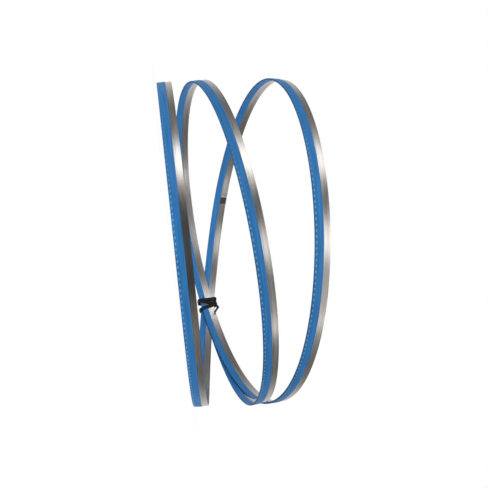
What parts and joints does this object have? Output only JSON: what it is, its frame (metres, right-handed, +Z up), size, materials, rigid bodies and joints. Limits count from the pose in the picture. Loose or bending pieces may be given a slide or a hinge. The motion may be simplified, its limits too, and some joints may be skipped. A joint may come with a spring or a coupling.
{
  "type": "band saw blade",
  "caption": "Endless toothed steel band saw blade folded into nested loops for storage, with a plastic tooth guard and a wire twist tie round the gathered strands",
  "frame": {"origin": "on the table, under the middle of the coil's footprint; Z is zero at the lowest edge of the guard", "axes": "the coil lies on its lowest loop with the tooth side down; +Z is up, -Y points from the gathered backs of the loops to the side where they fan apart, +X points to the side of the coil that carries the tie"},
  "size_m": [0.3054, 0.3012, 0.129],
  "materials": {
    "band_steel": "rolled strip steel, grain along the band, teeth ground along one edge",
    "guard_plastic": "soft translucent blue extrusion, satin",
    "tie_coating": "black plastic coating over a wire core"
  },
  "bodies": {
    "root": {"blade_band": "band_steel", "tooth_guard": "guard_plastic", "twist_tie": "tie_coating"}
  },
  "joints": []
}
